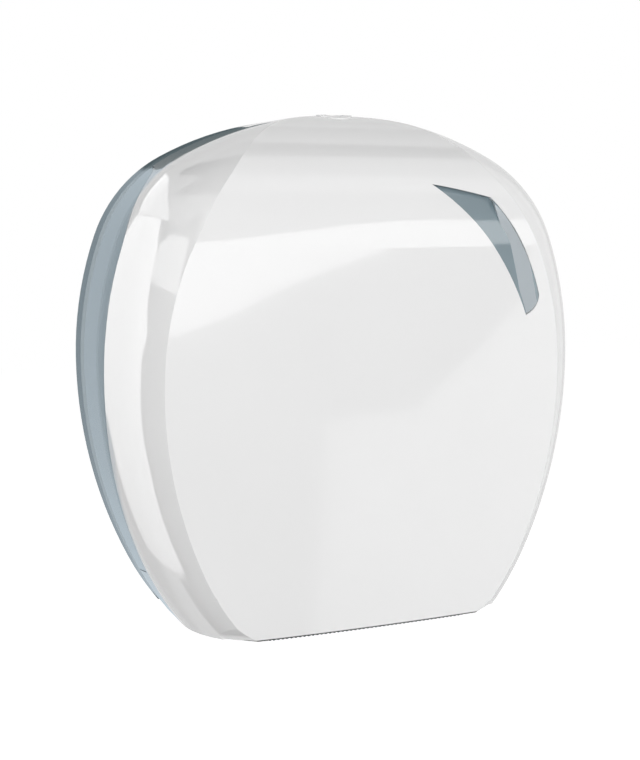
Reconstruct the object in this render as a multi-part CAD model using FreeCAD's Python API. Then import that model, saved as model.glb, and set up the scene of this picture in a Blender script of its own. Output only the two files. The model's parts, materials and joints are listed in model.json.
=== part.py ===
import FreeCAD, Part
import math
import os

# Jumbo toilet roll dispenser for a wall. Millimetres, Z up, wall plane at y = 0, front towards -Y.
# The origin is on the wall plane, on the axis of the roll spindle.

# Overall size of the closed dispenser
cover_height = 340.0
cover_depth = 130.0
spindle_height = 172.0

# Face-on outline, half of it, as tangent arcs from the top centre down; turns are degrees from upright.
# The bottom edge crosses the foot arc at bottom_turn, and the arcs are fitted to the cover's height.
crown_radius = 229.0
shoulder_radius = 99.0
upper_side_radius = 249.0
lower_side_radius = 321.0
foot_radius = 206.0
crown_turn = 27.9
shoulder_turn = 69.8
upper_side_turn = 89.5
lower_side_turn = 116.0
bottom_turn = 126.68
foot_turn = 150.0

# Side band seen edge-on: a drafted straight run from the wall, then a rounded nose that would end nose_past
# beyond the front; both are fitted to the cover's depth
draft_angle = 1.24
straight_depth = 65.0
nose_radius = 74.0
nose_turn = 70.0
nose_past = 2.936

# Front surface: bowed sideways, set back at the chin, rolled over at the top
front_bow_radius = 1616.0
chin_setback = 10.3
roll_over_radius = 89.6
roll_over_rise = 0.5

# Walls, gaps and fits
cover_wall = 3.0
base_wall = 3.0
window_wall = 2.6
seam_gap = 0.4
seat_gap = 0.2
side_gap = 0.5
running_gap = 0.06
hole_gap = 0.15
overrun = 10.0

# Rear base: a tray with a rim that shows behind the cover and a lip that goes into it
rim_depth = 28.0
rim_bridge = 6.0
lip_reach = 8.0
lip_wall = 2.0
lip_gap = 0.6
ledge_rise = 1.0

# Wall fixing holes, in a rectangle round the spindle
fixing_spacing_x = 180.0
fixing_spacing_z = 140.0
fixing_hole_radius = 2.75
fixing_boss_radius = 9.0
fixing_boss_height = 3.0

# Ribs of the base, as high as the spindle pad
rib_wall = 2.2
arch_rib_radius = 62.0

# Side windows, seen from the side
side_window_reach = 81.0
side_window_top_radius = 54.0
side_window_lower_radius = 720.0
side_window_height_shares = (0.738, 0.632, 0.11)
side_window_end_slope = 12.0

# Level window in the front, as shares of the half width and of the height above the bottom edge
window_tip_shares = (0.257, 0.857)
window_corner_shares = (0.504, 0.832)
window_shoulder_shares = (0.7155, 0.641)
window_toe_shares = (0.6545, 0.602)
window_left_bulge_share = 0.073
window_top_bulge_share = 0.012
window_right_bulge_share = 0.062
window_toe_bulge_share = 0.158
window_valley_top_shares = (0.512, 0.826)
window_valley_end_shares = (0.633, 0.652)
window_ridge_run = 13.0
window_flange = 4.0
window_plate = 1.8

# Corner bevels at the foot of the cover
bevel_inner_run = 37.9
bevel_outer_run = 29.1
bevel_depth = 6.5
bevel_height = 30.6
bevel_bulge = 2.7
bevel_wall = 1.2

# Cover hinge at the foot, near the wall
hinge_height = 7.0
hinge_setback = 15.0
hinge_ear_radius = 6.0
hinge_ear_wall = 4.0
hinge_lug_wall = 6.0
hinge_pin_radius = 3.0
hinge_head_radius = 4.6
hinge_head_height = 1.4
hinge_tail = 2.2
hinge_block_depth = 12.0
hinge_block_height = 24.0
clip_wall = 0.9
clip_width = 1.8

# Lock on the crown
lock_setback = 58.0
lock_plate_radius = 12.0
lock_plate_stand = 0.7
lock_boss_radius = 15.0
lock_boss_floor = 2.5
lock_pocket_floor = 5.74
lock_flange_radius = 9.2
lock_flange_height = 1.2
lock_sleeve_radius = 7.5
lock_sleeve_tail = 3.3
lock_nut_radius = 11.0
lock_nut_height = 3.0
lock_nut_sides = 6
lock_barrel_radius = 5.5
lock_barrel_sink = 2.4
lock_stub_radius = 3.5
lock_cam_wall = 2.2
cam_hub_radius = 7.5
cam_hook_inner_radius = 16.8
cam_hook_width = 4.0
cam_hook_start = -62.0
cam_hook_end = 4.0
cam_arm_width = 7.0
cam_screw_head_radius = 4.0
cam_screw_head_height = 1.6
cam_screw_radius = 1.5
cam_screw_length = 7.0
keyway_length = 6.4
keyway_width = 1.6
keyway_depth = 4.0

# Keeper bracket that the cam hooks behind
keeper_wall = 1.5
keeper_width = 28.0
keeper_foot = 30.0
keeper_arm_width = 14.0
keeper_arm_drop = 1.1
keeper_tab_gap = 0.8
keeper_tab_left = 4.0
keeper_tab_right = 5.0
keeper_tab_clear = 1.0

# Roll spindle
spindle_pad_radius = 42.0
spindle_pad_height = 5.0
spindle_flange_radius = 38.0
spindle_flange_height = 4.0
spindle_post_radius = 12.0
spindle_post_length = 98.0
spindle_screw_circle = 29.0
spindle_screw_count = 4
drag_washer_radius = 20.0
drag_washer_wall = 1.5
hub_stop_radius = 46.0
hub_stop_wall = 3.0
hub_inner_wall = 2.6
hub_radius = 21.5
hub_outer_wall = 2.2
hub_rib_wall = 2.0
hub_rib_count = 6
hub_web_wall = 3.0
adapter_wall = 2.4
adapter_fin_radius = 29.0
adapter_fin_wall = 2.4
adapter_fin_count = 6
adapter_gap = 0.15
adapter_end_gap = 4.0
end_washer_radius = 18.0
end_washer_wall = 2.0
end_gap = 0.3

# Screws
small_screw_radius = 1.6
small_screw_head_radius = 3.4
small_screw_head_height = 2.0
small_screw_length = 6.0
end_screw_radius = 2.5
end_screw_head_radius = 5.0
end_screw_head_height = 3.0
end_screw_length = 16.0
slot_width_share = 0.24
slot_depth_share = 0.45

# Tear bar along the foot of the front
tear_bar_half_length = 70.0
tear_bar_wall = 1.2
tear_bar_height = 12.0
tear_bar_drop = 1.6
tear_tooth_pitch = 3.0
tear_tooth_height = 0.8
tear_screw_spread = 56.0
tear_screw_height = 7.0
tear_screw_radius = 1.3
tear_screw_length = 2.2
tear_screw_head_radius = 2.6
tear_screw_head_height = 1.4
tear_screw_stand = 0.35

# Places worked out from the sizes above; "low" is the cover's bottom edge
low = -spindle_height
top = cover_height - spindle_height
drawn_radii = (crown_radius, shoulder_radius, upper_side_radius, lower_side_radius, foot_radius)
outline_turns = (0.0, crown_turn, shoulder_turn, upper_side_turn, lower_side_turn, foot_turn)
draft = math.radians(draft_angle)


def drawn_height():
    """Height of the outline's arcs as drawn, from the top to where the bottom edge crosses the foot arc."""
    ends = outline_turns[1:-1] + (bottom_turn,)
    return sum(radius * (math.cos(math.radians(start)) - math.cos(math.radians(end)))
               for radius, start, end in zip(drawn_radii, outline_turns, ends))


def drawn_depth():
    """Depth that the side band's run and nose reach as drawn."""
    return straight_depth + nose_radius * (math.sin(math.radians(nose_turn)) - math.sin(draft))


height_fit = cover_height / drawn_height()
depth_fit = (cover_depth + nose_past) / drawn_depth()
outline_radii = [radius * height_fit for radius in drawn_radii]
straight_run = straight_depth * depth_fit
nose = nose_radius * depth_fit
roll_over = roll_over_radius * depth_fit
bow_axis_y = front_bow_radius - cover_depth
roll_centre_y = roll_over - cover_depth
roll_centre_z = top + roll_over_rise - roll_over
chin_span = roll_centre_z - low
chin_radius = (chin_span ** 2 + chin_setback ** 2) / (2 * chin_setback)
UP = FreeCAD.Vector(0, 0, 1)
BACK = FreeCAD.Vector(0, 1, 0)
RIGHT = FreeCAD.Vector(1, 0, 0)


def vec(x, y, z):
    return FreeCAD.Vector(x, y, z)


def block(x0, x1, y0, y1, z0, z1):
    return Part.makeBox(x1 - x0, y1 - y0, z1 - z0, vec(x0, y0, z0))


def rod(radius, start, axis, length):
    return Part.makeCylinder(radius, length, start, axis)


def ring(outer, inner, start, axis, length):
    return rod(outer, start, axis, length).cut(rod(inner, start, axis, length))


def arc(p0, p1, p2):
    return Part.Arc(p0, p1, p2).toShape()


def line(p0, p1):
    return Part.LineSegment(p0, p1).toShape()


def prism(points, along):
    return Part.Face(Part.makePolygon(points + [points[0]])).extrude(along)


def mirrored(shape):
    return shape.mirror(vec(0, 0, 0), RIGHT)


def outline_centres():
    """Centre of each outline arc, for the right half, as (x, z)."""
    centres = []
    x, z = 0.0, top
    for radius, start, end in zip(outline_radii, outline_turns, outline_turns[1:]):
        a, b = math.radians(start), math.radians(end)
        cx, cz = x - radius * math.sin(a), z - radius * math.cos(a)
        centres.append((cx, cz))
        x, z = cx + radius * math.sin(b), cz + radius * math.cos(b)
    return centres


def outline_arcs():
    """Centre, radius, start turn and end turn of each arc of the outline."""
    return list(zip(outline_centres(), outline_radii, outline_turns, outline_turns[1:]))


def half_width(z, inset):
    """Half the outline's width at height z, with the outline drawn in by inset."""
    for (cx, cz), radius, _, end in outline_arcs():
        r = radius - inset
        if z >= cz + r * math.cos(math.radians(end)):
            return cx + math.sqrt(r * r - (z - cz) ** 2)
    raise ValueError("the foot arc ends above this height")


def widest_half():
    """Half the outline's width where it is widest: each arc is read where it comes nearest to upright."""
    reaches = []
    for (cx, _), radius, start, end in outline_arcs():
        turn = min(max(90.0, start), end)
        reaches.append(cx + radius * math.sin(math.radians(turn)))
    return max(reaches)


widest = widest_half()


def band_profile(radius, inset, back):
    """Edge-on profile of the side band as (distance from the arc's centre, depth) points."""
    centre_r = radius - straight_run * math.tan(draft) - nose * math.cos(draft)
    centre_m = straight_run - nose * math.sin(draft)
    tip = nose - inset
    start = (radius + back * math.tan(draft) - inset / math.cos(draft), -back)
    turns = (draft, (draft + math.radians(nose_turn)) / 2, math.radians(nose_turn))
    return [start] + [(centre_r + tip * math.cos(t), centre_m + tip * math.sin(t)) for t in turns]


def band_edges(side, centre, radius, turn, inset, back):
    a = math.radians(turn)
    cx, cz = centre
    p = [vec(side * (cx + r * math.sin(a)), -m, cz + r * math.cos(a))
         for r, m in band_profile(radius, inset, back)]
    return [line(p[0], p[1]), arc(p[1], p[2], p[3])]


def band_cap(index, inset, back):
    """Flat end of the band: the outline at one depth, closed along the bottom."""
    edges = []
    ends = []
    for side in (1, -1):
        for centre, radius, start, end in outline_arcs():
            r, m = band_profile(radius, inset, back)[index]
            turns = [math.radians(t) for t in (start, (start + end) / 2, end)]
            p = [vec(side * (centre[0] + r * math.sin(t)), -m, centre[1] + r * math.cos(t)) for t in turns]
            edges.append(arc(p[0], p[1], p[2]))
        ends.append(p[2])
    edges.append(line(ends[0], ends[1]))
    return Part.Face(Part.Wire(Part.__sortEdges__(edges)))


def band_solid(inset, back):
    """Everything inside the side band, drawn in by inset, from y = back to the end of the nose."""
    faces = []
    foot = []
    for side in (1, -1):
        for centre, radius, start, end in outline_arcs():
            pivot = vec(side * centre[0], 0, centre[1])
            for edge in band_edges(side, centre, radius, start, inset, back):
                faces.append(edge.revolve(pivot, BACK, side * (end - start)))
        foot.append(band_edges(side, centre, radius, end, inset, back))
    for right, left in zip(foot[0], foot[1]):
        faces.append(Part.makeRuledSurface(right, left))
    faces.append(band_cap(0, inset, back))
    faces.append(band_cap(-1, inset, back))
    shell = Part.makeShell(faces)
    shell.sewShape()
    solid = Part.Solid(shell)
    if solid.Volume < 0:
        solid.reverse()
    return solid


def front_solid(inset):
    """Everything behind the front surface, drawn in by inset."""
    chin, roll = chin_radius - inset, roll_over - inset
    chin_y, roll_y = chin_radius - cover_depth, roll_centre_y
    z0 = low - overrun
    z_mid = (z0 + roll_centre_z) / 2
    foot = vec(0, chin_y - math.sqrt(chin ** 2 - (z0 - roll_centre_z) ** 2), z0)
    middle = vec(0, chin_y - math.sqrt(chin ** 2 - (z_mid - roll_centre_z) ** 2), z_mid)
    brow = vec(0, inset - cover_depth, roll_centre_z)
    bend = vec(0, roll_y - roll * math.sqrt(0.5), roll_centre_z + roll * math.sqrt(0.5))
    crest = vec(0, roll_y, roll_centre_z + roll)
    back_top, back_foot = vec(0, overrun * 2, crest.z), vec(0, overrun * 2, z0)
    wire = Part.Wire([arc(foot, middle, brow), arc(brow, bend, crest), line(crest, back_top),
                      line(back_top, back_foot), line(back_foot, foot)])
    half_angle = math.degrees(math.asin((widest + overrun) / (bow_axis_y - overrun * 2)))
    face = Part.Face(wire)
    face.rotate(vec(0, bow_axis_y, 0), UP, -half_angle)
    return face.revolve(vec(0, bow_axis_y, 0), UP, 2 * half_angle)


def form(inset, back, floor):
    """The whole outer form drawn in by inset, from y = back forwards and from z = floor up."""
    wide = widest + overrun
    solid = band_solid(inset, back).common(front_solid(inset))
    keep = block(-wide, wide, -cover_depth - overrun, back, floor, top + overrun)
    return solid.common(keep)


def slice_y(shape, y0, y1):
    wide = widest + overrun
    return shape.common(block(-wide, wide, y0, y1, low - overrun, top + overrun))


def low_to(share):
    return low + share * cover_height


def side_window_prism(grow):
    """Side view of the side windows, right through the part; grow widens it all round but at the rim."""
    centre_share, straight_share, end_share = side_window_height_shares
    z_top, z_mid, z_end = low_to(centre_share), low_to(straight_share), low_to(end_share)
    reach = side_window_reach + grow
    r = side_window_top_radius + grow
    cy = r - reach
    rim_y = -rim_depth
    tip = vec(0, rim_y, z_top + math.sqrt(r * r - (rim_y - cy) ** 2))
    bend = vec(0, cy - r * math.sqrt(0.5), z_top + r * math.sqrt(0.5))
    side_top, side_mid = vec(0, -reach, z_top), vec(0, -reach, z_mid)
    lower = side_window_lower_radius + grow

    def lower_point(z):
        return vec(0, lower - reach - math.sqrt(lower ** 2 - (z - z_mid) ** 2), z)

    end = lower_point(z_end - grow)
    half = lower_point((z_mid + z_end) / 2)
    rim_end = vec(0, rim_y, end.z - (rim_y - end.y) * math.tan(math.radians(side_window_end_slope)))
    back = rim_y + grow
    outline = [arc(tip, bend, side_top), line(side_top, side_mid),
               arc(side_mid, half, end), line(end, rim_end)]
    if grow:
        back_top, back_end = vec(0, back, tip.z), vec(0, back, rim_end.z)
        outline += [line(rim_end, back_end), line(back_end, back_top), line(back_top, tip)]
    else:
        outline.append(line(rim_end, tip))
    wide = widest + overrun
    face = Part.Face(Part.Wire(outline))
    face.translate(vec(-wide, 0, 0))
    return face.extrude(vec(2 * wide, 0, 0))


def bulged(p, q, share):
    """Arc from p to q that stands out to its left by share of the chord."""
    mid = (p + q) * 0.5
    chord = q - p
    side = vec(-chord.z, 0, chord.x)
    return arc(p, mid + side * share, q)


def face_point(shares):
    return vec(shares[0] * widest, 0, low_to(shares[1]))


def window_prism(grow, y0, y1):
    """Level window's outline, grown all round, from y0 to y1."""
    tip, corner = face_point(window_tip_shares), face_point(window_corner_shares)
    shoulder, toe = face_point(window_shoulder_shares), face_point(window_toe_shares)
    edges = [bulged(tip, corner, window_top_bulge_share), bulged(corner, shoulder, window_right_bulge_share),
             bulged(shoulder, toe, window_toe_bulge_share), bulged(toe, tip, -window_left_bulge_share)]
    wire = Part.Wire(edges)
    if grow:
        wire = wire.makeOffset2D(grow)
    face = Part.Face(wire)
    face.translate(vec(0, y0, 0))
    return face.extrude(vec(0, y1 - y0, 0))


def slotted_screw(radius, length, head_radius, head_height, seat, into):
    """Slotted pan screw whose head stands on seat and whose shank runs along into."""
    head = rod(head_radius, seat, into * -1, head_height)
    shank = rod(radius, seat, into, length)
    slot = Part.makeBox(2 * head_radius + overrun, head_radius * slot_width_share * 2, head_height)
    slot.translate(vec(-head_radius - overrun / 2, -head_radius * slot_width_share, 0))
    slot.Placement = FreeCAD.Placement(vec(0, 0, 0), FreeCAD.Rotation(UP, into * -1)).multiply(slot.Placement)
    slot.translate(seat - into * head_height * (1 - slot_depth_share))
    return head.fuse(shank).removeSplitter().cut(slot)


def lock_crown_z():
    """Height of the crown on the lock's axis, where the roll-over or the band's draft is the lower."""
    roll = roll_centre_z + math.sqrt(roll_over ** 2 - (lock_y - roll_centre_y) ** 2)
    return min(roll, top + lock_y * math.tan(draft))


hinge_y = -hinge_setback
hinge_z = low + hinge_height
ear_outer_x = half_width(hinge_z - hinge_ear_radius, cover_wall + lip_gap + lip_wall) - side_gap
ear_inner_x = ear_outer_x - hinge_ear_wall
lug_outer_x = ear_inner_x - side_gap
lug_inner_x = lug_outer_x - hinge_lug_wall
lock_y = -lock_setback * depth_fit
lock_pocket_z = lock_crown_z() - lock_pocket_floor
lock_boss_z = lock_pocket_z - lock_boss_floor
sleeve_end_z = lock_boss_z - lock_sleeve_tail
cam_top_z = sleeve_end_z - side_gap
cam_z = cam_top_z - lock_cam_wall
keeper_arm_z = cam_z - keeper_arm_drop - keeper_wall
keeper_tab_y = lock_y + math.sqrt((cam_hook_inner_radius - keeper_tab_gap) ** 2 - keeper_tab_right ** 2)
pad_y = -base_wall - spindle_pad_height
flange_y = pad_y - spindle_flange_height
hub_back_y = flange_y - drag_washer_wall - seat_gap
post_end_y = flange_y - spindle_post_length * depth_fit
hub_front_y = post_end_y + end_gap


def front_y(x, z, inset):
    """Depth of the front surface below its roll-over, at x and z, drawn in by inset."""
    chin = chin_radius - inset
    profile = chin_radius - cover_depth - math.sqrt(chin ** 2 - (z - roll_centre_z) ** 2)
    return bow_axis_y - math.sqrt((bow_axis_y - profile) ** 2 - x ** 2)


def corner_bevel(inset):
    """Cutter for the right-hand foot corner, with a bulged face down, out and forward, drawn in by inset."""
    edge_x = half_width(low, 0)
    y_front = front_y(edge_x - bevel_inner_run, low, 0)
    a = vec(edge_x - bevel_inner_run, y_front, low)
    b = vec(edge_x - bevel_outer_run, y_front + bevel_depth, low)
    c = vec(half_width(low + bevel_height, 0) - bevel_outer_run, y_front, low + bevel_height)
    outward = (b - a).cross(c - a).normalize()
    if outward.y > 0:
        outward = outward * -1
    foot, head = a - outward * inset, c - outward * inset
    rise, away = (c - a).normalize() * bevel_height, outward * cover_depth
    middle = (foot + head) / 2 + outward * bevel_bulge
    wire = Part.Wire([arc(foot, middle, head), line(head, head + rise), line(head + rise, head + rise + away),
                      line(head + rise + away, foot - rise + away), line(foot - rise + away, foot - rise),
                      line(foot - rise, foot)])
    sweep = (b - a).normalize() * cover_depth
    cutter = Part.Face(wire.translated(sweep * -1)).extrude(sweep * 2)
    reach = block(a.x - overrun, edge_x + cover_depth, -cover_depth - overrun, b.y + bevel_depth,
                  low - overrun * 2, low + bevel_height + overrun)
    return cutter.common(reach)


def front_cover():
    """White outer shell with its openings, lock boss and hinge ears."""
    rear = -rim_depth - seam_gap
    whole = form(0, 0, low)
    hollow = form(cover_wall, overrun, low - overrun)
    hollow = hollow.cut([corner_bevel(bevel_wall), mirrored(corner_bevel(bevel_wall))])
    shell = slice_y(whole, -cover_depth - overrun, rear).cut(hollow)
    boss_height = lock_pocket_floor + lock_boss_floor + overrun
    boss = rod(lock_boss_radius, vec(0, lock_y, lock_boss_z), UP, boss_height)
    shell = shell.fuse(boss.common(whole))
    ear = hinge_ear().common(whole)
    shell = shell.fuse([ear, mirrored(ear)])
    pocket = rod(lock_plate_radius + hole_gap, vec(0, lock_y, lock_pocket_z), UP, lock_pocket_floor + overrun)
    bore = rod(lock_sleeve_radius + hole_gap, vec(0, lock_y, lock_boss_z - overrun), UP, cover_height)
    window = window_prism(0, -cover_depth - overrun, -cover_depth * 2 / 3)
    shell = shell.cut([pocket, bore, window, side_window_prism(side_gap)])
    shell = shell.cut([corner_bevel(0), mirrored(corner_bevel(0))])
    for x, z in tear_screw_places():
        seat = vec(x, front_y(x, z, cover_wall) + overrun, z)
        shell = shell.cut(rod(tear_screw_radius, seat, BACK * -1, overrun + tear_screw_length))
    return shell


def hinge_ear():
    """Right-hand hinge ear of the cover, reaching back from a block on the side wall."""
    block_back = -rim_depth - lip_reach - lip_wall
    block_front = block_back - hinge_block_depth
    anchor = block(ear_inner_x, widest, block_front, block_back, low, low + hinge_block_height)
    arm = block(ear_inner_x, ear_outer_x, block_front, hinge_y,
                hinge_z - hinge_ear_radius, hinge_z + hinge_ear_radius)
    eye = rod(hinge_ear_radius, vec(ear_inner_x, hinge_y, hinge_z), RIGHT, hinge_ear_wall)
    bore = rod(hinge_pin_radius + running_gap, vec(lug_inner_x, hinge_y, hinge_z), RIGHT, widest)
    return anchor.fuse([arm, eye]).removeSplitter().cut(bore)


def level_window():
    """Translucent lens: a plate behind the wall with a ridge that rises to its right-hand edge."""
    seat = cover_wall + seat_gap
    y0, y1 = -cover_depth - overrun, -cover_depth * 2 / 3
    plate = window_prism(window_flange, y0, y1).common(form(seat, 0, low))
    plate = plate.cut(front_solid(seat + window_plate))
    valley_top, valley_end = face_point(window_valley_top_shares), face_point(window_valley_end_shares)
    run = valley_end - valley_top
    across = vec(-run.z, 0, run.x).normalize()
    y_valley = front_y(valley_end.x, valley_end.z, seat)
    y_ridge = front_y(valley_end.x, valley_end.z, seat_gap)
    section = [valley_top + BACK * y_valley, valley_top + across * window_ridge_run + BACK * y_ridge,
               valley_top + across * window_ridge_run * 2 + BACK * (2 * y_ridge - y_valley),
               valley_top + across * window_ridge_run * 2 + BACK * (y_valley + window_plate),
               valley_top + BACK * (y_valley + window_plate)]
    section = [p - run for p in section]
    ridge = prism(section, run * 3)
    ridge = ridge.common(window_prism(-seat_gap, y0, y1))
    ridge = ridge.common(front_solid(seat_gap).cut(front_solid(seat + window_plate / 2)))
    return plate.fuse(ridge).removeSplitter()


def rear_base():
    """Tray against the wall: back plate, rim, lip, ribs, pads and hinge lugs."""
    whole = form(0, 0, low)
    bridge_inset = cover_wall + lip_gap + lip_wall
    plate = slice_y(whole, -base_wall, 0)
    rim = slice_y(whole, -rim_depth, 0).cut(form(base_wall, overrun, low - overrun))
    bridge = slice_y(whole, -rim_depth, -rim_depth + rim_bridge)
    bridge = bridge.cut(form(bridge_inset, overrun, low - overrun))
    lip_front = -rim_depth - lip_reach
    lip = slice_y(form(cover_wall + lip_gap, 0, low), lip_front, -rim_depth + rim_bridge / 2)
    lip = lip.cut(form(bridge_inset, overrun, low - overrun))
    wide = widest + overrun
    rim = rim.fuse([bridge, lip]).cut(
        block(-wide, wide, -cover_depth, -base_wall, low - overrun, hinge_z))
    ledge_z = hinge_z + ledge_rise
    ledge_x = lug_inner_x - hinge_head_height - side_gap
    ledge = block(-ledge_x, ledge_x, -rim_depth, 0, ledge_z, ledge_z + base_wall)
    body = plate.fuse([rim, ledge] + base_ribs())
    body = body.fuse([hinge_lug(), mirrored(hinge_lug())])
    return body.removeSplitter().cut(base_holes())


def fixing_places():
    """The wall fixing holes as (x, z)."""
    return [(x, z) for x in (-fixing_spacing_x / 2, fixing_spacing_x / 2)
            for z in (-fixing_spacing_z / 2, fixing_spacing_z / 2)]


def base_ribs():
    """Pads and ribs on the back plate, from the plate forwards."""
    inner = form(base_wall / 2, 0, hinge_z + ledge_rise)
    pieces = [rod(spindle_pad_radius, vec(0, pad_y, 0), BACK, -pad_y)]
    for x, z in fixing_places():
        start = vec(x, -base_wall - fixing_boss_height, z)
        pieces.append(rod(fixing_boss_radius, start, BACK, base_wall + fixing_boss_height))
    half = rib_wall / 2
    ribs = [block(-widest, widest, pad_y, 0, -half, half),
            block(-half, half, pad_y, 0, low, keeper_foot_z() - overrun / 2),
            ring(arch_rib_radius + rib_wall, arch_rib_radius, vec(0, pad_y, 0), BACK, -pad_y)]
    return pieces + [r.common(inner) for r in ribs]


def hinge_lug():
    """Right-hand hinge lug of the base."""
    arm = block(lug_inner_x, lug_outer_x, hinge_y, 0,
                hinge_z - hinge_ear_radius, hinge_z + hinge_ear_radius)
    eye = rod(hinge_ear_radius, vec(lug_inner_x, hinge_y, hinge_z), RIGHT, hinge_lug_wall)
    bore_length = hinge_lug_wall + 2 * overrun
    bore = rod(hinge_pin_radius, vec(lug_inner_x - overrun, hinge_y, hinge_z), RIGHT, bore_length)
    return arm.fuse(eye).removeSplitter().cut(bore)


def spindle_screw_places():
    turns = [2 * math.pi * (i + 0.5) / spindle_screw_count for i in range(spindle_screw_count)]
    return [(spindle_screw_circle * math.cos(t), spindle_screw_circle * math.sin(t)) for t in turns]


def keeper_foot_z():
    return keeper_arm_z + keeper_wall - keeper_foot


def keeper_screw_places():
    z = keeper_foot_z() + keeper_foot / 3
    return [(-keeper_width / 4, z), (keeper_width / 4, z)]


def base_holes():
    """Wall fixing holes right through, and pilot holes for the spindle and keeper screws."""
    holes = []
    for x, z in fixing_places():
        holes.append(rod(fixing_hole_radius, vec(x, -rim_depth, z), BACK, rim_depth + overrun))
    pilot_length = rim_depth + flange_y + small_screw_length
    for x, z in spindle_screw_places():
        holes.append(rod(small_screw_radius, vec(x, -rim_depth, z), BACK, pilot_length))
    for x, z in keeper_screw_places():
        holes.append(rod(small_screw_radius, vec(x, -rim_depth, z), BACK, rim_depth - keeper_wall))
    return holes


def side_window(side):
    """Crescent wall that stands on the rim beside the cover; side is 1 on the right."""
    shell = form(0, 0, low).cut(form(window_wall, overrun, low - overrun))
    wide = widest + overrun
    half = block(0, wide, -cover_depth, 0, low, top)
    if side < 0:
        half = mirrored(half)
    return shell.common(side_window_prism(0)).common(half)


def hinge_pin(side):
    """Headed pin through the base lug and the cover ear."""
    start = lug_inner_x - hinge_head_height
    end = ear_outer_x + hinge_tail
    head = rod(hinge_head_radius, vec(start, hinge_y, hinge_z), RIGHT, hinge_head_height)
    shank = rod(hinge_pin_radius, vec(start, hinge_y, hinge_z), RIGHT, end - start)
    groove = ring(hinge_pin_radius + overrun, hinge_pin_radius - clip_width / 2,
                  vec(ear_outer_x + side_gap / 2, hinge_y, hinge_z), RIGHT, clip_wall)
    pin = head.fuse(shank).removeSplitter().cut(groove)
    return pin if side > 0 else mirrored(pin)


def pin_clips():
    """Retaining rings in the grooves of the hinge pins."""
    inner = hinge_pin_radius - clip_width / 2
    start = vec(ear_outer_x + side_gap / 2, hinge_y, hinge_z)
    clip = ring(hinge_pin_radius + clip_width, inner, start, RIGHT, clip_wall)
    gap = block(0, widest, hinge_y - inner, hinge_y + inner, hinge_z, hinge_z + hinge_ear_radius)
    clip = clip.cut(gap)
    return Part.makeCompound([clip, mirrored(clip)])


def lock_escutcheon():
    """Round plate in the pocket of the crown, following its curve."""
    disc = rod(lock_plate_radius, vec(0, lock_y, lock_pocket_z), UP, lock_pocket_floor + overrun)
    disc = disc.common(form(-lock_plate_stand, 0, low))
    hole = rod(lock_sleeve_radius - lock_flange_height, vec(0, lock_y, lock_pocket_z), UP, cover_height)
    seat_height = lock_flange_height + hole_gap
    seat = rod(lock_flange_radius + hole_gap, vec(0, lock_y, lock_pocket_z), UP, seat_height)
    return disc.cut([hole, seat])


def lock_sleeve():
    """Threaded sleeve that holds the barrel in the cover."""
    start = vec(0, lock_y, sleeve_end_z)
    body = rod(lock_sleeve_radius, start, UP, lock_pocket_z + lock_flange_height - sleeve_end_z)
    flange = rod(lock_flange_radius, vec(0, lock_y, lock_pocket_z), UP, lock_flange_height)
    bore = rod(lock_barrel_radius + running_gap, start, UP, cover_height)
    return body.fuse(flange).removeSplitter().cut(bore)


def lock_nut():
    """Hexagonal nut under the lock boss."""
    turns = [2 * math.pi * i / lock_nut_sides for i in range(lock_nut_sides)]
    z = lock_boss_z - lock_nut_height
    points = [vec(lock_nut_radius * math.cos(t), lock_y + lock_nut_radius * math.sin(t), z) for t in turns]
    nut = prism(points, UP * lock_nut_height)
    return nut.cut(rod(lock_sleeve_radius, vec(0, lock_y, cam_z), UP, cover_height))


def lock_barrel():
    """Key barrel with a plain keyway and a stub for the cam."""
    barrel_top = lock_crown_z() - lock_barrel_sink
    body = rod(lock_barrel_radius, vec(0, lock_y, cam_top_z), UP, barrel_top - cam_top_z)
    stub = rod(lock_stub_radius, vec(0, lock_y, cam_z), UP, lock_cam_wall)
    keyway = block(-keyway_width / 2, keyway_width / 2,
                   lock_y - keyway_length / 2, lock_y + keyway_length / 2,
                   barrel_top - keyway_depth, barrel_top + overrun)
    hole = rod(cam_screw_radius, vec(0, lock_y, cam_z), UP, cam_screw_length)
    return body.fuse(stub).removeSplitter().cut([keyway, hole])


def lock_cam():
    """Hook on the barrel: an arm and a curved finger that swings behind the keeper."""
    start = vec(0, lock_y, cam_z)
    outer = cam_hook_inner_radius + cam_hook_width
    hub = rod(cam_hub_radius, start, UP, lock_cam_wall)
    finger = Part.makeCylinder(outer, lock_cam_wall, start, UP, cam_hook_end - cam_hook_start)
    finger = finger.cut(rod(cam_hook_inner_radius, start, UP, lock_cam_wall))
    finger.rotate(start, UP, cam_hook_start)
    arm = block(0, cam_hook_inner_radius + cam_hook_width / 2, -cam_arm_width / 2, cam_arm_width / 2,
                0, lock_cam_wall)
    arm.rotate(vec(0, 0, 0), UP, cam_hook_start + math.degrees(cam_arm_width / 2 / cam_hook_inner_radius))
    arm.translate(start)
    bore = rod(lock_stub_radius, start, UP, lock_cam_wall)
    return hub.fuse([finger, arm]).removeSplitter().cut(bore)


def cam_screw():
    seat = vec(0, lock_y, cam_z)
    return slotted_screw(cam_screw_radius, cam_screw_length,
                         cam_screw_head_radius, cam_screw_head_height, seat, UP)


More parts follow.
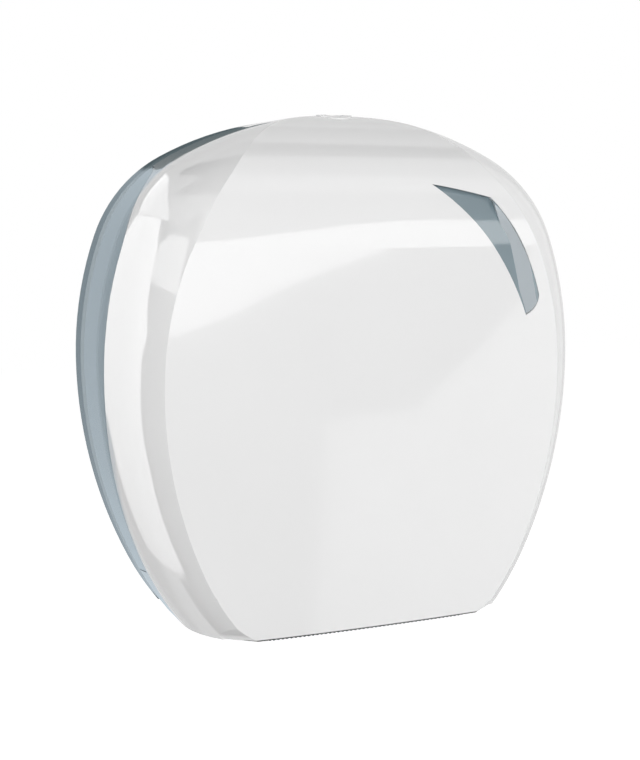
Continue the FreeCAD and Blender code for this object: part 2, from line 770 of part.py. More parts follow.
def lock_keeper():
    """Steel bracket: a foot on the back plate, an arm under the crown and an upright tab."""
    y_back = -base_wall
    half = keeper_arm_width / 2
    foot = block(-keeper_width / 2, keeper_width / 2, y_back - keeper_wall, y_back,
                 keeper_foot_z(), keeper_arm_z + keeper_wall)
    arm = block(-half, half, keeper_tab_y - keeper_wall, y_back, keeper_arm_z, keeper_arm_z + keeper_wall)
    tab = block(-keeper_tab_left, keeper_tab_right, keeper_tab_y - keeper_wall, keeper_tab_y,
                keeper_arm_z, lock_boss_z - keeper_tab_clear)
    holes = [rod(small_screw_radius + hole_gap, vec(x, -rim_depth, z), BACK, rim_depth)
             for x, z in keeper_screw_places()]
    return foot.fuse([arm, tab]).removeSplitter().cut(holes)


def keeper_screws():
    seat_y = -base_wall - keeper_wall
    screws = [slotted_screw(small_screw_radius, -seat_y - keeper_wall,
                            small_screw_head_radius, small_screw_head_height, vec(x, seat_y, z), BACK)
              for x, z in keeper_screw_places()]
    return Part.makeCompound(screws)


def spindle_post():
    """Fixed post on a screwed flange; the hub turns on it."""
    flange = rod(spindle_flange_radius, vec(0, flange_y, 0), BACK, spindle_flange_height)
    post = rod(spindle_post_radius, vec(0, post_end_y, 0), BACK, -post_end_y + flange_y)
    holes = [rod(small_screw_radius + hole_gap, vec(x, flange_y, z), BACK, spindle_flange_height)
             for x, z in spindle_screw_places()]
    sinks = [rod(small_screw_head_radius + hole_gap, vec(x, flange_y, z), BACK, small_screw_head_height)
             for x, z in spindle_screw_places()]
    pilot = rod(end_screw_radius, vec(0, post_end_y, 0), BACK, end_screw_length)
    return flange.fuse(post).removeSplitter().cut(holes + sinks + [pilot])


def spindle_screws():
    seat_y = flange_y + small_screw_head_height
    screws = [slotted_screw(small_screw_radius, small_screw_length - small_screw_head_height,
                            small_screw_head_radius, small_screw_head_height, vec(x, seat_y, z), BACK)
              for x, z in spindle_screw_places()]
    return Part.makeCompound(screws)


def drag_washer():
    return ring(drag_washer_radius, spindle_post_radius + hole_gap,
                vec(0, flange_y - drag_washer_wall, 0), BACK, drag_washer_wall)


def core_hub():
    """Turning hub: inner and outer tubes joined by ribs, with a round stop behind the roll."""
    length = hub_back_y - hub_front_y
    start = vec(0, hub_front_y, 0)
    bore = spindle_post_radius + running_gap
    inner = rod(bore + hub_inner_wall, start, BACK, length)
    outer = ring(hub_radius, hub_radius - hub_outer_wall, start, BACK, length)
    web_depth = hub_stop_wall + hub_web_wall
    web = rod(hub_radius, vec(0, hub_back_y - web_depth, 0), BACK, web_depth)
    stop = rod(hub_stop_radius, vec(0, hub_back_y - hub_stop_wall, 0), BACK, hub_stop_wall)
    ribs = []
    for i in range(hub_rib_count):
        rib = block(bore, hub_radius - hub_outer_wall / 2, hub_front_y + hub_rib_wall, hub_back_y,
                    -hub_rib_wall / 2, hub_rib_wall / 2)
        rib.rotate(vec(0, 0, 0), BACK, i * 360 / hub_rib_count)
        ribs.append(rib)
    return inner.fuse([outer, web, stop] + ribs).removeSplitter().cut(rod(bore, start, BACK, length))


def core_adapter():
    """Finned sleeve pushed onto the hub for rolls with a wide core."""
    bore = hub_radius + adapter_gap
    y_back = hub_back_y - hub_stop_wall - seat_gap
    y_front = hub_front_y + adapter_end_gap
    start = vec(0, y_front, 0)
    sleeve = rod(bore + adapter_wall, start, BACK, y_back - y_front)
    fins = []
    for i in range(adapter_fin_count):
        fin = block(bore, adapter_fin_radius, y_front, y_back, -adapter_fin_wall / 2, adapter_fin_wall / 2)
        fin.rotate(vec(0, 0, 0), BACK, i * 360 / adapter_fin_count)
        fins.append(fin)
    return sleeve.fuse(fins).removeSplitter().cut(rod(bore, start, BACK, y_back - y_front))


def end_washer():
    return ring(end_washer_radius, end_screw_radius + hole_gap,
                vec(0, post_end_y - end_washer_wall, 0), BACK, end_washer_wall)


def end_screw():
    seat = vec(0, post_end_y - end_washer_wall, 0)
    return slotted_screw(end_screw_radius, end_screw_length,
                         end_screw_head_radius, end_screw_head_height, seat, BACK)


def tear_screw_places():
    """The tear bar's screws as (x, z)."""
    return [(x, low + tear_screw_height) for x in (-tear_screw_spread, 0, tear_screw_spread)]


def tear_bar():
    """Toothed strip inside the foot of the front, following its bow."""
    seat = cover_wall + seat_gap
    half = tear_bar_half_length
    strip = front_solid(seat).cut(front_solid(seat + tear_bar_wall))
    strip = strip.common(block(-half, half, -cover_depth, -cover_depth / 2,
                               low - tear_bar_drop, low + tear_bar_height))
    count = round(2 * half / tear_tooth_pitch)
    foot_z = low - tear_bar_drop - tear_tooth_height / 2
    tip_z = low - tear_bar_drop + tear_tooth_height
    gaps = []
    for i in range(count):
        x = -half + 2 * half * (i + 0.5) / count
        left = vec(x - tear_tooth_pitch / 2, -cover_depth, foot_z)
        right = vec(x + tear_tooth_pitch / 2, -cover_depth, foot_z)
        gaps.append(prism([left, right, vec(x, -cover_depth, tip_z)], BACK * cover_depth))
    holes = []
    for x, z in tear_screw_places():
        holes.append(rod(tear_screw_radius + hole_gap, vec(x, -cover_depth, z), BACK, cover_depth))
    return strip.cut(gaps + holes)


def tear_bar_screws():
    screws = []
    for x, z in tear_screw_places():
        seat = vec(x, front_y(x, z, cover_wall + seat_gap + tear_bar_wall) + tear_screw_stand, z)
        length = tear_screw_length + tear_bar_wall + tear_screw_stand
        screws.append(slotted_screw(tear_screw_radius, length,
                                    tear_screw_head_radius, tear_screw_head_height, seat, BACK * -1))
    return Part.makeCompound(screws)


def main():
    os.makedirs("parts", exist_ok=True)
    nodes = {
        "rear_base": rear_base(),
        "side_window_left": side_window(-1),
        "side_window_right": side_window(1),
        "front_cover": front_cover(),
        "level_window": level_window(),
        "lock_escutcheon": lock_escutcheon(),
        "lock_sleeve": lock_sleeve(),
        "lock_nut": lock_nut(),
        "lock_barrel": lock_barrel(),
        "lock_cam": lock_cam(),
        "cam_screw": cam_screw(),
        "lock_keeper": lock_keeper(),
        "keeper_screws": keeper_screws(),
        "spindle_post": spindle_post(),
        "spindle_screws": spindle_screws(),
        "drag_washer": drag_washer(),
        "core_hub": core_hub(),
        "core_adapter": core_adapter(),
        "end_washer": end_washer(),
        "end_screw": end_screw(),
        "hinge_pin_left": hinge_pin(-1),
        "hinge_pin_right": hinge_pin(1),
        "pin_clips": pin_clips(),
        "tear_bar": tear_bar(),
        "tear_bar_screws": tear_bar_screws(),
    }
    for name, shape in nodes.items():
        print(name, "solids", len(shape.Solids), "volume", round(shape.Volume), "valid", shape.isValid())
        shape.exportStep("parts/" + name + ".step")


main()
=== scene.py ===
"""Looks of a jumbo toilet roll dispenser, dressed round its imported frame.

Metres, Z up, the wall plane at y = 0, the front towards -Y, and the origin on the roll spindle's axis.
"""

import json
import logging
import math
from collections.abc import Mapping, Sequence
from dataclasses import dataclass
from enum import Enum

import bpy
from mathutils import Matrix, Vector


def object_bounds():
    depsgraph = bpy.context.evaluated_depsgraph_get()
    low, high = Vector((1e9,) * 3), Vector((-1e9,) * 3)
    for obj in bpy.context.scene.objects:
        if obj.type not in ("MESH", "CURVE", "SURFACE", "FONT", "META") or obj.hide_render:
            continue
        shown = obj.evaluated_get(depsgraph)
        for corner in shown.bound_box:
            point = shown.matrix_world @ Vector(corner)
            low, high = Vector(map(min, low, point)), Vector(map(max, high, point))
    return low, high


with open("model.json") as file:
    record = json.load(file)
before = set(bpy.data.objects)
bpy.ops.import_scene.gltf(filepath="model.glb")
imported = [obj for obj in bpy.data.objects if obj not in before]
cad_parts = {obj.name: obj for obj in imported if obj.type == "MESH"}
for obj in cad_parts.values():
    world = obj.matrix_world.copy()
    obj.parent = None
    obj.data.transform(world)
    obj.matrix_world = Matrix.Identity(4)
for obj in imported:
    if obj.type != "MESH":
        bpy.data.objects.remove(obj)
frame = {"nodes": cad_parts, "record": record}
cad_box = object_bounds()

log = logging.getLogger("dispenser")

Colour = tuple[float, float, float, float]


class Graph:
    """A node tree that is built by one method."""

    def __init__(self, tree: bpy.types.NodeTree) -> None:
        """Empties the tree and keeps it."""
        tree.nodes.clear()
        self.tree = tree

    def node(self, kind: str, settings: Mapping[str, object] | None = None,
             inputs: Mapping[int | str, object] | None = None) -> bpy.types.Node:
        """Adds one node.

        Args:
            kind: the node's type.
            settings: attributes set before the sockets.
            inputs: a value, a colour, a socket or a Signal for each input socket.

        Returns:
            The new node.
        """
        made = self.tree.nodes.new(kind)
        for name, value in (settings or {}).items():
            setattr(made, name, value)
        for key, value in (inputs or {}).items():
            self._feed(made.inputs[key], value)
        return made

    def signal(self, kind: str, settings: Mapping[str, object] | None = None,
               inputs: Mapping[int | str, object] | None = None, output: int | str = 0) -> "Signal":
        """Adds one node and wraps one of its outputs.

        Args:
            kind: the node's type.
            settings: attributes set before the sockets.
            inputs: a value, a colour, a socket or a Signal for each input socket.
            output: which output to wrap.

        Returns:
            The wrapped output.
        """
        return Signal(self, self.node(kind, settings, inputs).outputs[output])

    def _feed(self, socket: bpy.types.NodeSocket, value: object) -> None:
        """Links or sets one input socket.

        Args:
            socket: the input.
            value: a Signal, an output socket or a plain value.
        """
        if isinstance(value, Signal):
            self.tree.links.new(value.socket, socket)
        elif isinstance(value, bpy.types.NodeSocket):
            self.tree.links.new(value, socket)
        else:
            socket.default_value = value


class Signal:
    """A value socket that takes part in Python expressions."""

    def __init__(self, graph: Graph, socket: bpy.types.NodeSocket) -> None:
        """Keeps the graph and the socket."""
        self.graph = graph
        self.socket = socket

    def _math(self, operation: str, first: object, second: object) -> "Signal":
        """Adds one Math node on two values."""
        return self.graph.signal("ShaderNodeMath", {"operation": operation}, {0: first, 1: second})

    def __add__(self, other: object) -> "Signal":
        """Sum."""
        return self._math("ADD", self, other)

    __radd__ = __add__

    def __mul__(self, other: object) -> "Signal":
        """Product."""
        return self._math("MULTIPLY", self, other)

    __rmul__ = __mul__


@dataclass(frozen=True)
class PaintedShadeHighlightEdge:
    """A place on an axis past which a piece takes another colour, painted shade on the white cover and a painted
    highlight on the smoked base, with the run over which it does.
    """

    axis: int
    start: float
    end: float


class Surface:
    """One object-space material on its way to a Principled shader."""

    def __init__(self, name: str) -> None:
        """Starts the material and its object-space coordinates."""
        self.material = bpy.data.materials.new(name)
        self.material.use_nodes = True
        self.graph = Graph(self.material.node_tree)
        self.place = self.graph.signal("ShaderNodeTexCoord", output="Object")

    def noise(self, scale: float, detail: float = 3.0,
              stretch: tuple[float, float, float] = (1.0, 1.0, 1.0)) -> Signal:
        """Fractal noise over the surface.

        Args:
            scale: cells per metre.
            detail: octaves.
            stretch: factor on each axis, so that the grain can run one way.

        Returns:
            The noise, about 0.5 on average.
        """
        stretched = self.graph.signal("ShaderNodeMapping", inputs={"Vector": self.place, "Scale": stretch})
        return self.graph.signal("ShaderNodeTexNoise", inputs={
            "Vector": stretched, "Scale": scale, "Detail": detail})

    def blend(self, mask: Signal, low: Signal | Colour, high: Colour) -> Signal:
        """Mixes two colours by a mask.

        Args:
            mask: 0 for the first colour and 1 for the second.
            low: the first colour.
            high: the second colour.

        Returns:
            The mixed colour.
        """
        node = self.graph.node("ShaderNodeMix", {"data_type": "RGBA"}, {0: mask, 6: low, 7: high})
        return Signal(self.graph, node.outputs[2])

    def painted_reflection_mask(self) -> Signal:
        """One on flats that lean to the left by ten degrees or more, and none on the others: where the painted
        reflection goes.

        Returns:
            The mask.
        """
        facing = self.graph.signal("ShaderNodeTexCoord", output="Normal")
        lean = self.graph.signal("ShaderNodeVectorMath", {"operation": "DOT_PRODUCT"}, {
            0: facing, 1: (-1.0, 0.0, 0.0)}, output="Value")
        return self.graph.signal("ShaderNodeMapRange", inputs={"Value": lean, "From Min": 0.08, "From Max": 0.17})

    def painted_shade_highlight_mask(self, painted_shade_highlight_edges: tuple[PaintedShadeHighlightEdge, ...]) -> Signal:
        """One where the surface lies past every edge, and nought elsewhere: the mask of the painted shade and painted
        highlight bands.

        Args:
            painted_shade_highlight_edges: the edges, at least one.

        Returns:
            The mask.
        """
        place = self.graph.node("ShaderNodeSeparateXYZ", inputs={0: self.place}).outputs
        mask, *others = [self.graph.signal("ShaderNodeMapRange", inputs={
            "Value": place[edge.axis], "From Min": edge.start, "From Max": edge.end}) for edge in painted_shade_highlight_edges]
        for other in others:
            mask = mask * other
        return mask

    def bump(self, height: Signal, depth: float) -> Signal:
        """Turns a height into a normal.

        Args:
            height: 0 to 1.
            depth: the height in metres that 1 stands for.

        Returns:
            The normal.
        """
        return self.graph.signal("ShaderNodeBump", inputs={
            "Strength": 1.0, "Distance": depth, "Height": height})

    def finish(self, sockets: Mapping[int | str, object]) -> bpy.types.Material:
        """Ends the material in a Principled shader.

        Args:
            sockets: values and signals for the shader's sockets.

        Returns:
            The finished material.
        """
        shader = self.graph.node("ShaderNodeBsdfPrincipled", inputs=sockets)
        self.graph.node("ShaderNodeOutputMaterial", inputs={"Surface": shader.outputs[0]})
        return self.material


def shade(colour: tuple[float, float, float], factor: float) -> Colour:
    """A colour made lighter or darker, with full alpha."""
    return (colour[0] * factor, colour[1] * factor, colour[2] * factor, 1.0)


@dataclass(frozen=True)
class MouldedGloss:
    """Polished moulded plastic: faint flow clouds, orange peel and fine handling haze, with optional bands of painted
    shade and painted highlight and a painted reflection on left-facing flats.
    """

    colour: tuple[float, float, float]
    roughness: float = 0.10
    cloud: float = 0.015
    cloud_scale: float = 14.0
    haze_scale: float = 90.0
    peel_scale: float = 420.0
    peel_depth: float = 0.000004
    refraction: float = 1.52
    coat: float = 1.0
    specular: float = 0.5
    transmission: float = 0.0
    # Painted reflection: the colour of flats that face left.
    painted_reflection_colour: tuple[float, float, float] | None = None
    # Bands of painted shade and painted highlight, and the colour painted there.
    painted_shade_highlight_edges: tuple[PaintedShadeHighlightEdge, ...] = ()
    painted_shade_highlight_colour: tuple[float, float, float] = (0.03, 0.03, 0.03)

    def build(self, name: str) -> bpy.types.Material:
        """Makes the material.

        Args:
            name: the material's name.

        Returns:
            The material.
        """
        surface = Surface(name)
        clouds = surface.noise(self.cloud_scale, detail=2.0)
        haze = surface.noise(self.haze_scale, detail=5.0)
        peel = surface.noise(self.peel_scale, detail=1.0)
        tone = surface.blend(clouds, shade(self.colour, 1 - self.cloud), shade(self.colour, 1 + self.cloud))
        # Painted reflection: flats facing left are painted lighter, as if they mirrored the bright studio on the left.
        if self.painted_reflection_colour is not None:
            tone = surface.blend(surface.painted_reflection_mask(), tone, shade(self.painted_reflection_colour, 1.0))
        # Painted light: past the edges the colour stands in for the shadow under the white cover's bottom edge and for
        # a highlight along the smoked base's rim.
        if self.painted_shade_highlight_edges:
            tone = surface.blend(surface.painted_shade_highlight_mask(self.painted_shade_highlight_edges), tone, shade(self.painted_shade_highlight_colour, 1.0))
        return surface.finish({
            "Base Color": tone,
            "Roughness": haze * (self.roughness * 0.5) + self.roughness * 0.75,
            "Normal": surface.bump(peel, self.peel_depth),
            "IOR": self.refraction,
            "Specular IOR Level": self.specular,
            "Coat Weight": self.coat,
            "Coat Roughness": 0.03,
            "Transmission Weight": self.transmission,
        })


@dataclass(frozen=True)
class SatinPlastic:
    """Moulded plastic with an eroded-tool grain."""

    colour: tuple[float, float, float]
    roughness: float = 0.45
    cloud_scale: float = 30.0
    wear_scale: float = 60.0
    grain_scale: float = 1900.0
    grain_depth: float = 0.00003
    refraction: float = 1.49

    def build(self, name: str) -> bpy.types.Material:
        """Makes the material.

        Args:
            name: the material's name.

        Returns:
            The material.
        """
        surface = Surface(name)
        clouds = surface.noise(self.cloud_scale, detail=2.0)
        grain = surface.noise(self.grain_scale, detail=3.0)
        rubbed = surface.noise(self.wear_scale, detail=4.0)
        return surface.finish({
            "Base Color": surface.blend(clouds, shade(self.colour, 0.94), shade(self.colour, 1.05)),
            "Roughness": rubbed * 0.2 + (self.roughness - 0.1),
            "Normal": surface.bump(grain, self.grain_depth),
            "IOR": self.refraction,
        })


@dataclass(frozen=True)
class PlatedSteel:
    """Bright plated steel with a fine grain and slight staining."""

    colour: tuple[float, float, float]
    roughness: float = 0.28
    stain_scale: float = 110.0
    grain_scale: float = 700.0
    grain_depth: float = 0.00001
    grain_way: tuple[float, float, float] = (1.0, 1.0, 12.0)

    def build(self, name: str) -> bpy.types.Material:
        """Makes the material.

        Args:
            name: the material's name.

        Returns:
            The material.
        """
        surface = Surface(name)
        grain = surface.noise(self.grain_scale, detail=3.0, stretch=self.grain_way)
        stain = surface.noise(self.stain_scale, detail=4.0)
        return surface.finish({
            "Base Color": surface.blend(stain, shade(self.colour, 0.86), shade(self.colour, 1.06)),
            "Roughness": grain * 0.2 + (self.roughness - 0.1),
            "Normal": surface.bump(grain, self.grain_depth),
            "Metallic": 1.0,
        })


@dataclass(frozen=True)
class PressedFelt:
    """Felt: matted fibres with tone from clump to clump."""

    colour: tuple[float, float, float]
    clump_scale: float = 350.0
    fibre_scale: float = 2600.0
    fibre_depth: float = 0.00025

    def build(self, name: str) -> bpy.types.Material:
        """Makes the material.

        Args:
            name: the material's name.

        Returns:
            The material.
        """
        surface = Surface(name)
        fibres = surface.noise(self.fibre_scale, detail=6.0, stretch=(1.0, 3.0, 1.0))
        clumps = surface.noise(self.clump_scale, detail=3.0)
        return surface.finish({
            "Base Color": surface.blend(clumps, shade(self.colour, 0.75), shade(self.colour, 1.3)),
            "Roughness": fibres * 0.1 + 0.88,
            "Normal": surface.bump(fibres, self.fibre_depth),
            "Sheen Weight": 0.4,
        })


class Slot(Enum):
    """The record's material slots."""

    WHITE_COVER = "white_cover"
    WHITE_LOCK = "white_lock"
    SMOKE_BASE = "smoke_base"
    SMOKE_WINDOW = "smoke_window"
    SMOKE_LENS = "smoke_lens"
    GREY_PLASTIC = "grey_plastic"
    BLUE_PLASTIC = "blue_plastic"
    GREY_LOCK = "grey_lock"
    TEAR_PLASTIC = "tear_plastic"
    ZINC_STEEL = "zinc_steel"
    SPRING_STEEL = "spring_steel"
    FELT = "felt"


FINISHES = {
    # White cover: a near-black band along the front of its bottom edge is painted shadow, the shade under the cover's
    # foot.
    Slot.WHITE_COVER: MouldedGloss((0.80, 0.80, 0.80),
                                   painted_shade_highlight_edges=(PaintedShadeHighlightEdge(2, -0.1709, -0.1714), PaintedShadeHighlightEdge(1, -0.112, -0.114))),
    Slot.WHITE_LOCK: MouldedGloss((0.78, 0.78, 0.78), roughness=0.16),
    # Smoked base: the front part of its rim, below the crown, is painted lighter, a painted highlight along the rim.
    Slot.SMOKE_BASE: MouldedGloss((0.110, 0.165, 0.190), cloud=0.05, coat=0.0, specular=0.32, transmission=0.10,
                                  painted_shade_highlight_edges=(PaintedShadeHighlightEdge(1, -0.0150, -0.0180), PaintedShadeHighlightEdge(2, 0.150, 0.120)),
                                  painted_shade_highlight_colour=(0.44, 0.51, 0.54)),
    Slot.SMOKE_WINDOW: MouldedGloss((0.32, 0.40, 0.44), cloud=0.04, transmission=0.25),
    # Window lens: its left-facing facet is painted lighter, a painted reflection.
    Slot.SMOKE_LENS: MouldedGloss((0.24, 0.32, 0.36), cloud=0.04, specular=1.0, transmission=0.25,
                                  painted_reflection_colour=(0.54, 0.60, 0.64)),
    Slot.GREY_PLASTIC: SatinPlastic((0.50, 0.52, 0.53)),
    Slot.BLUE_PLASTIC: SatinPlastic((0.25, 0.35, 0.43)),
    Slot.GREY_LOCK: SatinPlastic((0.42, 0.42, 0.43), roughness=0.35),
    Slot.TEAR_PLASTIC: MouldedGloss((0.16, 0.20, 0.22), cloud=0.05),
    Slot.ZINC_STEEL: PlatedSteel((0.66, 0.67, 0.68)),
    Slot.SPRING_STEEL: PlatedSteel((0.30, 0.30, 0.31), roughness=0.38),
    Slot.FELT: PressedFelt((0.16, 0.16, 0.17)),
}


@dataclass
class Wardrobe:
    """Makes each finish once and puts it on the nodes of its slot."""

    materials: dict[Slot, bpy.types.Material]

    @classmethod
    def make(cls) -> "Wardrobe":
        """Makes every finish."""
        return cls({slot: finish.build(slot.value) for slot, finish in FINISHES.items()})

    def dress(self, node: str) -> None:
        """Gives a node the finish of the slot that the record names for it.

        Args:
            node: the node's name.
        """
        slots = {part["node"]: part["material_slot"] for part in frame["record"]["subparts"]}
        slot = Slot(slots[node])
        thing = frame["nodes"][node]
        for holder in thing.material_slots:
            holder.material = self.materials[slot]
        log.info("%s wears %s", node, slot.value)


@dataclass
class Assembly:
    """Pieces that are dressed together."""

    nodes: tuple[str, ...]

    def dress(self, wardrobe: Wardrobe) -> None:
        """Dresses the assembly's pieces."""
        for node in self.nodes:
            wardrobe.dress(node)


@dataclass
class Cover(Assembly):
    """White cover with its window, lock housing and tear bar."""

    nodes: tuple[str, ...] = ("front_cover", "level_window", "lock_escutcheon", "lock_sleeve", "lock_nut",
                              "tear_bar", "tear_bar_screws")


@dataclass
class Base(Assembly):
    """Smoked tray on the wall with its side windows, keeper and hinge pins."""

    nodes: tuple[str, ...] = ("rear_base", "side_window_left", "side_window_right", "lock_keeper", "keeper_screws",
                              "hinge_pin_left", "hinge_pin_right", "pin_clips")


@dataclass
class Lock(Assembly):
    """Key barrel, hook and screw that turn in the crown."""

    nodes: tuple[str, ...] = ("lock_barrel", "lock_cam", "cam_screw")


@dataclass
class Spindle(Assembly):
    """Fixed post with its washers, and the hub and adapter that turn on it."""

    nodes: tuple[str, ...] = ("spindle_post", "spindle_screws", "drag_washer", "core_hub", "core_adapter",
                              "end_washer", "end_screw")


@dataclass
class Softbox:
    """One soft lamp that looks at the dispenser and isn't seen in its gloss."""

    name: str
    place: tuple[float, float, float]
    width: float
    power: float

    def build(self) -> None:
        """Hangs the lamp."""
        data = bpy.data.lights.new(self.name, "AREA")
        data.shape = "SQUARE"
        data.size = self.width
        data.energy = self.power
        lamp = bpy.data.objects.new(self.name, data)
        lamp.location = self.place
        lamp.rotation_mode = "QUATERNION"
        lamp.rotation_quaternion = (-Vector(self.place)).to_track_quat("-Z", "Y")
        lamp.visible_glossy = False
        bpy.context.scene.collection.objects.link(lamp)


@dataclass
class Card:
    """A flat light or dark studio card that only the gloss sees."""

    name: str
    corners: tuple[tuple[float, float, float], ...]
    radiance: float
    slope: tuple[float, float, float] = (0.0, 0.0, 0.0)
    tint: tuple[float, float, float] = (1.0, 1.0, 1.0)

    def build(self) -> None:
        """Stands the card in the studio, brighter towards its slope's way by that much from end to end."""
        mesh = bpy.data.meshes.new(self.name)
        mesh.from_pydata(self.corners, [], [tuple(range(len(self.corners)))])
        material = bpy.data.materials.new(self.name)
        material.use_nodes = True
        graph = Graph(material.node_tree)
        along = graph.signal("ShaderNodeVectorMath", {"operation": "DOT_PRODUCT"}, {
            0: graph.signal("ShaderNodeTexCoord", output="Generated"), 1: self.slope}, output="Value")
        glow = graph.node("ShaderNodeEmission", inputs={
            "Color": shade(self.tint, 1.0), "Strength": along + (self.radiance - sum(self.slope) / 2)})
        graph.node("ShaderNodeOutputMaterial", inputs={"Surface": glow.outputs[0]})
        mesh.materials.append(material)
        card = bpy.data.objects.new(self.name, mesh)
        card.visible_camera = False
        card.visible_diffuse = False
        card.visible_transmission = False
        card.visible_shadow = False
        bpy.context.scene.collection.objects.link(card)


def upright(axis: int, place: float, outline: Sequence[tuple[float, float]]) -> tuple[tuple[float, float, float], ...]:
    """Stands a card's outline in a plane across one axis.

    Args:
        axis: 0, 1 or 2 for a plane across X, Y or Z.
        place: where the plane cuts that axis.
        outline: the corners' other two coordinates, in axis order.

    Returns:
        The corners in space.
    """
    corners = []
    for first, second in outline:
        corner = [first, second]
        corner.insert(axis, place)
        corners.append(tuple(corner))
    return tuple(corners)


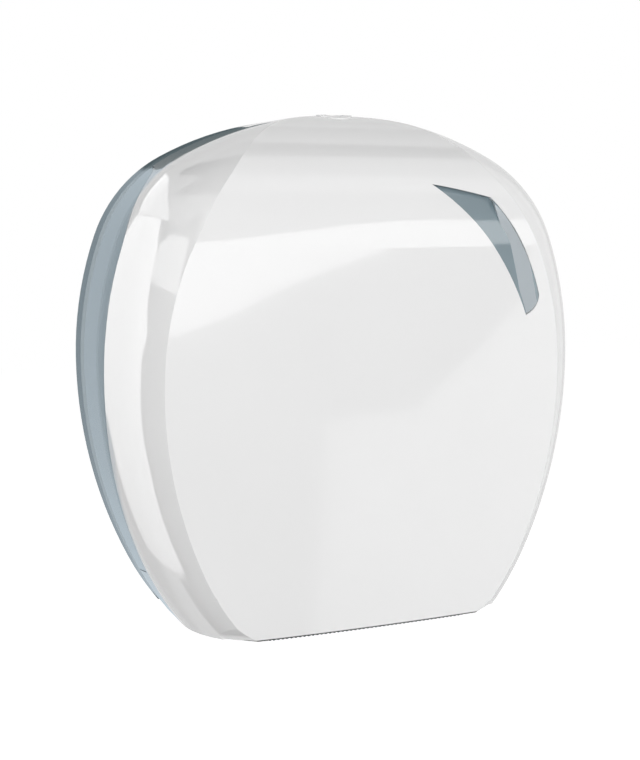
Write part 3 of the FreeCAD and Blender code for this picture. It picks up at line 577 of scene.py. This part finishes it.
@dataclass
class Studio:
    """Pale floor, white surroundings, soft lamps, cards for the gloss and the camera."""

    floor_drop: float = 0.30
    floor_size: float = 8.0
    floor_grey: float = 0.55
    floor_glow: float = 0.80
    fill: float = 0.35
    camera_place: tuple[float, float, float] = (-0.3179, -0.8541, 0.0975)
    camera_target: tuple[float, float, float] = (-0.01244, -0.060, -0.0124)
    camera_roll: float = -0.48
    focal_pixels: float = 1244.82
    picture_height: float = 760.0
    sensor: float = 36.0
    lamps: tuple[Softbox, ...] = (
        Softbox("front_lamp", (-0.6, -2.4, 0.5), 1.5, 38.0),
        Softbox("left_lamp", (-2.6, 0.2, 0.3), 1.5, 7.0),
        Softbox("right_lamp", (2.3, -1.4, 0.7), 1.5, 14.0),
    )
    cards: tuple[Card, ...] = (
        Card("front_card", upright(1, -3.0, (
            (-0.6, -0.50), (0.20, -0.32), (0.44, -0.25), (0.71, -0.15), (0.94, -0.09), (1.25, -0.02), (1.50, 0.06),
            (2.6, 0.14), (2.6, 1.34), (1.63, 1.30), (1.15, 1.08), (0.82, 0.76), (0.54, 0.54), (0.40, 0.42),
            (-0.6, 0.0))), 2.05),
        Card("right_card", upright(1, -3.1, ((1.0, -2.4), (6.0, -2.4), (6.0, 0.6), (2.75, 0.6), (2.4, -0.30),
                                             (1.6, -0.75), (1.0, -0.75))), 1.6, (1.0, 0, 0)),
        Card("front_flag", upright(1, -3.3, ((-0.2, -3.3), (3.2, -3.3), (3.2, 3.6), (-0.2, 3.6))), 0.6),
        Card("left_card", upright(0, -3.0, (
            (0.26, -3.0), (0.02, -1.93), (-0.15, -1.3), (-0.15, -0.89), (-0.30, -0.5), (-0.44, -0.10), (-0.70, 0.20),
            (-0.48, 0.56), (-0.36, 1.05), (-0.26, 1.35), (0.4, 2.4), (3.6, 2.4), (3.6, -3.0))), 2.4, (0, -1.0, 1.0)),
        Card("left_low_card", upright(0, -3.05, ((-2.3, 0.75), (-1.4, 0.80), (-0.4, 0.9), (-0.3, 1.5), (-0.85, 2.05),
                                                 (-2.3, 2.3))), 1.75),
        Card("left_flag", upright(0, -3.15, ((-2.95, -4.5), (0.6, -4.5), (0.6, 4.5), (-2.95, 4.5))), 0.05),
        Card("top_flag", upright(2, 2.5, ((-3.0, -1.3), (2.0, -1.3), (2.0, 1.6), (-3.0, 1.6))), 0.65),
        Card("finger_flag", upright(2, 2.45, (
            (-1.08, 1.75), (-0.80, 1.68), (-0.58, 1.30), (-0.36, 0.72), (0.30, 0.28), (1.6, 0.22), (1.6, -0.35),
            (0.30, -0.40), (-0.3, -0.9), (-0.9, -0.9), (-1.2, -0.5), (-1.5, -0.2), (-1.78, 0.72), (-1.35, 0.47),
            (-0.95, 0.42), (-1.0, 0.95), (-1.12, 1.4))), 0.0),
        Card("low_flag", upright(2, -3.2, ((-3.1, -2.5), (0.6, -2.5), (0.6, 1.0), (-3.1, 1.0))), 0.10),
        Card("high_card", upright(2, 2.45, ((-3.0, -0.1), (-2.5, 0.2), (-2.1, 0.8), (-1.7, 1.3), (-1.25, 2.2),
                                            (-0.9, 3.45), (-3.0, 3.45))), 2.2),
        Card("rear_flag", upright(1, 3.5, ((-3.2, -1.55), (1.0, -1.55), (1.0, 1.4), (-3.2, 1.4))), 1.0,
             tint=(0.53, 0.61, 0.67)),
        Card("rear_high_flag", upright(1, 3.45, ((0.12, 0.4), (1.0, 0.4), (1.0, 1.4), (0.12, 1.4))), 1.0,
             tint=(0.10, 0.13, 0.14)),
        Card("rear_card", upright(1, 3.7, ((-4.5, -4.5), (6.0, -4.5), (6.0, 5.0), (-4.5, 5.0))), 0.8),
    )

    def build(self) -> None:
        """Sets up the whole studio."""
        self._floor()
        self._surroundings()
        for fitting in self.lamps + self.cards:
            fitting.build()
        self._camera()
        bpy.context.scene.view_settings.view_transform = "Standard"
        log.info("studio with %d lamps and %d cards", len(self.lamps), len(self.cards))

    @staticmethod
    def _white_rays(graph: Graph) -> Signal:
        """One where a ray sees the background: straight from the camera, in gloss or through glass.

        Args:
            graph: the node tree that asks.

        Returns:
            The mask.
        """
        path = graph.node("ShaderNodeLightPath")
        kinds = [Signal(graph, path.outputs[name])
                 for name in ("Is Camera Ray", "Is Glossy Ray", "Is Transmission Ray")]
        return graph.signal("ShaderNodeClamp", inputs={"Value": kinds[0] + kinds[1] + kinds[2]})

    def _floor(self) -> None:
        """Lays the floor well below the dispenser, where the open cover clears it."""
        half = self.floor_size / 2
        z = cad_box[0].z - self.floor_drop
        mesh = bpy.data.meshes.new("floor")
        mesh.from_pydata(upright(2, z, ((-half, -half), (half, -half), (half, half), (-half, half))),
                         [], [(0, 1, 2, 3)])
        floor = bpy.data.objects.new("floor", mesh)
        floor.visible_glossy = False
        bpy.context.scene.collection.objects.link(floor)
        material = bpy.data.materials.new("floor_white")
        material.use_nodes = True
        graph = Graph(material.node_tree)
        matt = graph.node("ShaderNodeBsdfDiffuse", inputs={
            "Color": (self.floor_grey, self.floor_grey, self.floor_grey, 1.0)})
        glow = graph.node("ShaderNodeEmission", inputs={"Strength": self._white_rays(graph) * self.floor_glow})
        both = graph.node("ShaderNodeAddShader", inputs={0: matt.outputs[0], 1: glow.outputs[0]})
        graph.node("ShaderNodeOutputMaterial", inputs={"Surface": both.outputs[0]})
        mesh.materials.append(material)

    def _surroundings(self) -> None:
        """Lights the object evenly from all round, in front of a white background."""
        world = bpy.data.worlds.new("surroundings")
        world.use_nodes = True
        bpy.context.scene.world = world
        graph = Graph(world.node_tree)
        strength = self._white_rays(graph) * (1 - self.fill) + self.fill
        back = graph.node("ShaderNodeBackground", inputs={"Color": (1.0, 1.0, 1.0, 1.0), "Strength": strength})
        graph.node("ShaderNodeOutputWorld", inputs={"Surface": back.outputs[0]})

    def _camera(self) -> None:
        """Puts the camera at the photograph's place."""
        data = bpy.data.cameras.new("camera")
        data.sensor_width = self.sensor
        data.lens = self.focal_pixels / self.picture_height * self.sensor
        data.clip_start = 0.01
        camera = bpy.data.objects.new("camera", data)
        place = Vector(self.camera_place)
        aim = (Vector(self.camera_target) - place).to_track_quat("-Z", "Y")
        turn = Matrix.Rotation(math.radians(self.camera_roll), 4, "Z")
        camera.matrix_world = Matrix.Translation(place) @ aim.to_matrix().to_4x4() @ turn
        bpy.context.scene.collection.objects.link(camera)
        bpy.context.scene.camera = camera


def main() -> None:
    """Builds the dispenser's looks and the studio."""
    logging.basicConfig(level=logging.INFO, format="%(message)s")
    wardrobe = Wardrobe.make()
    for assembly in (Base(), Cover(), Lock(), Spindle()):
        assembly.dress(wardrobe)
    Studio().build()


if __name__ == "__main__":
    main()
